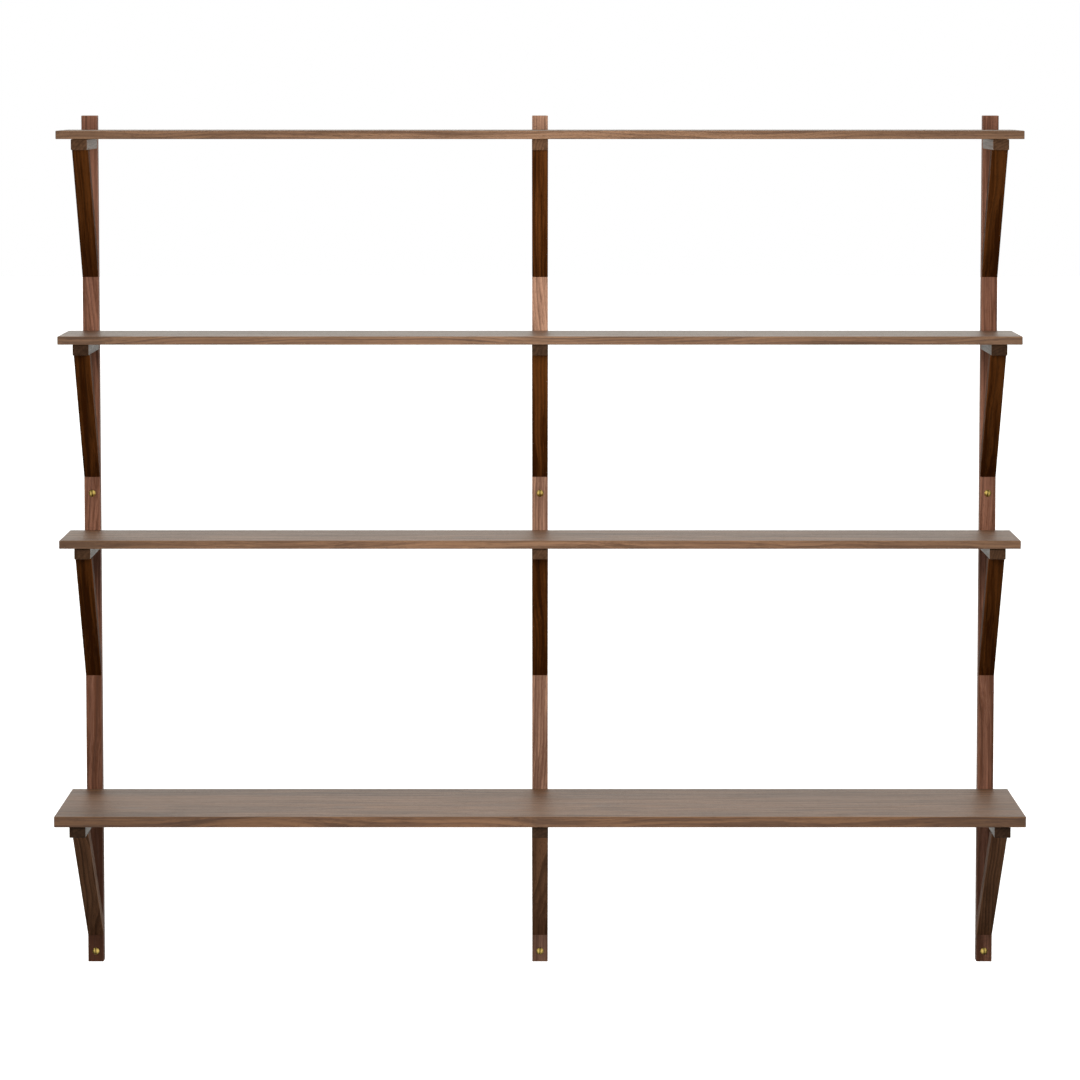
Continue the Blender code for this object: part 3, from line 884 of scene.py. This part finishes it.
class ShelfWoodSettings(bpy.types.PropertyGroup):
    """Sizes and colours of the walnut."""

    edge_radius: length_property("Edge radius", "How far the long edges are rounded", 0.0012)
    shoulder_ease: length_property("Shoulder ease", "How far an arm's joint is rounded", 0.0002)
    clearance: length_property("Clearance", "Gap between a hole and what goes in it", 0.0003)
    pilot_radius: length_property("Pilot radius", "Radius of the screw holes in the boards", 0.0023)
    ring_width: length_property("Ring width", "One year's growth", 0.0056)
    wave_height: length_property("Wave height", "How far the rings wander along the grain", 0.036)
    ring_strength: share_property("Ring strength", "How dark the end of each ring is", 1.0)
    # Painted highlight with wear: how much lighter the eased edges are coloured
    edge_wear_and_highlight: share_property("Edge wear", "How much lighter the eased edges are", 0.3)
    board_roughness: share_property("Board roughness", "How dull the boards' sheen is", 0.46)
    upright_roughness: share_property("Upright roughness", "How dull the uprights' sheen is", 0.60)
    arm_roughness: share_property("Arm roughness", "How dull the arms' sheen is", 0.40)
    strut_roughness: share_property("Strut roughness", "How dull the struts' sheen is", 0.60)
    # Painted shade: the uprights and struts are coloured darker towards their feet, where less light falls
    upright_fade: number_property("Upright fade", "How much darker uprights get down a metre", 0.8)
    strut_fade: number_property("Strut fade", "How much darker struts get down a metre", 2.4)
    low_strut_fade: number_property("Low strut fade", "The same for the bottom struts", 0.3)
    board_gloss: share_property("Board gloss", "Strength of the boards' oiled sheen", 0.5)
    upright_gloss: share_property("Upright gloss", "Strength of the uprights' sheen", 0.15)
    arm_gloss: share_property("Arm gloss", "Strength of the arms' sheen", 0.12)
    strut_gloss: share_property("Strut gloss", "Strength of the struts' sheen", 0.02)


class ShelfScrewSettings(bpy.types.PropertyGroup):
    """Sizes and colours of the brass screws."""

    metal_roughness: share_property("Roughness", "How satin the brass is", 0.38)
    brass_colour: colour_property("Brass", "Clean brass", (0.78, 0.57, 0.16))
    tarnish_colour: colour_property("Tarnish", "Aged brass", (0.36, 0.24, 0.05))


class ShelfStageSettings(bpy.types.PropertyGroup):
    """The studio."""

    floor_drop: length_property("Floor drop", "How far the floor is below the uprights", 0.35)
    camera_distance: length_property("Camera distance", "From the wall plane to the camera", 8.542)
    camera_height: length_property("Camera height", "Over the middle of the uprights", 0.786)
    camera_pitch: number_property("Camera pitch", "How far it looks down", CAMERA_PITCH, subtype="ANGLE")
    camera_lens: number_property("Lens", "Focal length in millimetres", 165.3, subtype="DISTANCE_CAMERA")
    key_power: number_property("Key light", "Power of the key light", 34)
    sheen_power: number_property("Sheen", "Power of the sheen", 50)
    fill_power: number_property("Low fill", "Power of the low light", 14)
    top_power: number_property("Top light", "Strength of the light from above", 2.3)


def add_tables():
    """Gives the wood its colours and the screws their sizes, such as board_light and wall_neck."""
    for name, colours in WOODS.items():
        for (part, words), colour in zip(WOOD_PARTS.items(), colours):
            made = colour_property(f"{name} {part}".replace("_", " ").capitalize(), words, colour)
            ShelfWoodSettings.__annotations__[f"{name}_{part}"] = made
    for name, (words, *lengths) in SCREW_SIZES.items():
        for kind, length in zip(SCREW_AXES, lengths):
            made = length_property(f"{kind} screw {name}".replace("_", " ").capitalize(), words, length)
            ShelfScrewSettings.__annotations__[f"{kind}_{name}"] = made


# ---- operators


def brackets(first):
    """The number, level and side of each bracket, counted from a first number."""
    places = [(level, side) for level in LEVELS for side in SIDES]
    return [(first + count, *place) for count, place in enumerate(places)]


class SHELF_OT_boards(bpy.types.Operator):
    """Make the four boards"""

    bl_idname = "shelf.boards"
    bl_label = "Boards"

    def execute(self, context):
        for number, level in enumerate(LEVELS, 1):
            add_board(context.scene.shelf_wood, number, level)
        return {"FINISHED"}


class SHELF_OT_uprights(bpy.types.Operator):
    """Make the three uprights, with their mortises and screw holes"""

    bl_idname = "shelf.uprights"
    bl_label = "Uprights"

    def execute(self, context):
        for number, side in enumerate(SIDES, 5):
            add_upright(context.scene.shelf_wood, context.scene.shelf_screws, number, side)
        return {"FINISHED"}


class SHELF_OT_arms(bpy.types.Operator):
    """Make the twelve arms under the boards"""

    bl_idname = "shelf.arms"
    bl_label = "Arms"

    def execute(self, context):
        for number, level, side in brackets(8):
            add_arm(context.scene.shelf_wood, context.scene.shelf_screws, number, level, side)
        return {"FINISHED"}


class SHELF_OT_struts(bpy.types.Operator):
    """Make the twelve slanting struts"""

    bl_idname = "shelf.struts"
    bl_label = "Struts"

    def execute(self, context):
        for number, level, side in brackets(20):
            add_strut(context.scene.shelf_wood, number, level, side)
        return {"FINISHED"}


class SHELF_OT_wall_screws(bpy.types.Operator):
    """Make the six domed wall screws, each turned a little differently"""

    bl_idname = "shelf.wall_screws"
    bl_label = "Wall screws"

    def execute(self, context):
        screws = context.scene.shelf_screws
        finish = brass("Brass wall screws", screws)
        nodes = [f"wall_screw_{height}_{side}" for height in ("upper", "lower") for side in SIDES]
        for number, node in enumerate(nodes):
            add_screw(screws, "wall", node, finish, math.radians(5) * math.sin(2.4 * number + 0.6))
        return {"FINISHED"}


class SHELF_OT_board_screws(bpy.types.Operator):
    """Make the fifteen flat screws that hold the boards to their arms"""

    bl_idname = "shelf.board_screws"
    bl_label = "Board screws"

    def execute(self, context):
        screws = context.scene.shelf_screws
        finish = brass("Brass board screws", screws)
        for number, node in enumerate(board_screws()):
            add_screw(screws, "board", node, finish, 2.4 * number)
        return {"FINISHED"}


class SHELF_OT_stage(bpy.types.Operator):
    """Make the pale floor, the soft lights, the white surroundings and the camera"""

    bl_idname = "shelf.stage"
    bl_label = "Studio"

    def execute(self, context):
        scene = context.scene
        sizes = scene.shelf_stage
        scene.view_settings.view_transform = "Standard"
        make_floor(sizes)
        make_lights(sizes)
        make_surroundings(scene)
        make_camera(scene, sizes)
        return {"FINISHED"}


def make_floor(sizes):
    """A round pale floor, a disc whose points are radius x (cos turn, sin turn). It is clear from below."""
    height = CAD_BOX[0].z - sizes.floor_drop
    turn = np.linspace(0, 2 * math.pi, FLOOR_STEPS, endpoint=False)
    x, y = FLOOR_RADIUS * np.cos(turn), FLOOR_RADIUS * np.sin(turn)
    rim = np.stack([x, y, np.full_like(turn, height)], axis=1)
    index = np.arange(FLOOR_STEPS)
    faces = np.stack([np.zeros_like(index), 1 + index, 1 + np.roll(index, -1)], axis=1)
    mesh = bpy.data.meshes.new("Floor")
    mesh.from_pydata(np.concatenate([[(0, 0, height)], rim]), [], faces)
    floor = bpy.data.objects.new("Floor", mesh)
    bpy.context.scene.collection.objects.link(floor)
    floor.visible_diffuse = False
    floor.visible_glossy = False
    material, shade = new_material("Pale floor")
    paint = shade.node("ShaderNodeBsdfPrincipled", None, {
        "Base Color": opaque(FLOOR_PAINT), "Roughness": 0.9, "Emission Color": opaque(WHITE),
        "Emission Strength": FLOOR_GLOW,
    })
    clear = shade.node("ShaderNodeBsdfTransparent")
    below = shade.node("ShaderNodeNewGeometry", output="Backfacing")
    shade.finish(shade.node("ShaderNodeMixShader", None, {0: below, 1: paint, 2: clear}))
    mesh.materials.append(material)


def add_lamp(name, kind, power, matt=True):
    """A lamp that lights matt surfaces, or one that only shows as a sheen on polished ones."""
    light = bpy.data.lights.new(name, kind)
    light.energy = power
    lamp = bpy.data.objects.new(name, light)
    lamp.visible_camera = False
    lamp.visible_diffuse = matt
    lamp.visible_glossy = not matt
    bpy.context.scene.collection.objects.link(lamp)
    return lamp


def add_soft_light(name, stand, power, matt=True):
    """A round soft light that stands at a place and faces another."""
    place, aim, size = stand
    lamp = add_lamp(name, "AREA", power, matt)
    lamp.data.shape = "DISK"
    lamp.data.size = size
    lamp.location = place
    lamp.rotation_euler = (Vector(aim) - Vector(place)).to_track_quat("-Z", "Y").to_euler()


def make_lights(sizes):
    """A soft key light near the top in front, a wide one that only shows as a sheen, a weak one low in
    front for what is under the deep board, and an even soft light from above."""
    add_soft_light("Key", KEY, sizes.key_power)
    add_soft_light("Sheen", SHEEN, sizes.sheen_power, matt=False)
    add_soft_light("Low fill", LOW_FILL, sizes.fill_power)
    top = add_lamp("Top", "SUN", sizes.top_power)
    top.data.angle = TOP_ANGLE
    top.rotation_euler = (TOP_TILT, 0, 0)


def make_surroundings(scene):
    """White behind everything that the camera sees, and a softer room for the light on the shelf: brighter
    from above and behind, and dim from below in front."""
    world = bpy.data.worlds.new("Studio")
    world.use_nodes = True
    shade = Shader(world.node_tree)
    _, back, up = shade.parts(shade.node("ShaderNodeTexCoord", output="Generated"))
    strength = shade.math("MAXIMUM", ROOM_LEVEL + back * ROOM_BACK + up * ROOM_UP, ROOM_LEAST)
    room = shade.node("ShaderNodeBackground", None, {"Color": opaque(ROOM_COLOUR), "Strength": strength})
    white = shade.node("ShaderNodeBackground", None, {"Color": opaque(WHITE), "Strength": 1.0})
    seen = shade.node("ShaderNodeLightPath", output="Is Camera Ray")
    shade.finish(shade.node("ShaderNodeMixShader", None, {0: seen, 1: room, 2: white}), "World")
    scene.world = world


def make_camera(scene, sizes):
    """A long lens square to the wall, a little above the shelf's middle and looking slightly down."""
    camera = bpy.data.objects.new("Camera", bpy.data.cameras.new("Camera"))
    camera.data.lens = sizes.camera_lens
    camera.location = (0.0, -sizes.camera_distance, sizes.camera_height)
    camera.rotation_euler = (QUARTER - sizes.camera_pitch, 0.0, 0.0)
    scene.collection.objects.link(camera)
    scene.camera = camera


class SHELF_PT_sidebar(bpy.types.Panel):
    """The shelf's pieces and settings"""

    bl_idname = "SHELF_PT_sidebar"
    bl_label = "Wall Shelf"
    bl_space_type = "VIEW_3D"
    bl_region_type = "UI"
    bl_category = "Wall Shelf"

    def draw(self, context):
        for operator in OPERATORS:
            self.layout.operator(operator.bl_idname)
        for group in GROUPS:
            settings = getattr(context.scene, group)
            box = self.layout.box()
            for name in settings.__annotations__:
                box.prop(settings, name)


OPERATORS = (
    SHELF_OT_boards,
    SHELF_OT_uprights,
    SHELF_OT_arms,
    SHELF_OT_struts,
    SHELF_OT_wall_screws,
    SHELF_OT_board_screws,
    SHELF_OT_stage,
)
GROUPS = {
    "shelf_wood": ShelfWoodSettings,
    "shelf_screws": ShelfScrewSettings,
    "shelf_stage": ShelfStageSettings,
}
CLASSES = (*GROUPS.values(), *OPERATORS, SHELF_PT_sidebar)


def register():
    add_tables()
    for made in CLASSES:
        bpy.utils.register_class(made)
    for name, group in GROUPS.items():
        setattr(bpy.types.Scene, name, bpy.props.PointerProperty(type=group))


def unregister():
    for name in GROUPS:
        delattr(bpy.types.Scene, name)
    for made in reversed(CLASSES):
        bpy.utils.unregister_class(made)


def main():
    register()
    bpy.ops.shelf.boards()
    bpy.ops.shelf.uprights()
    bpy.ops.shelf.arms()
    bpy.ops.shelf.struts()
    bpy.ops.shelf.wall_screws()
    bpy.ops.shelf.board_screws()
    bpy.ops.shelf.stage()


if __name__ == "__main__":
    main()
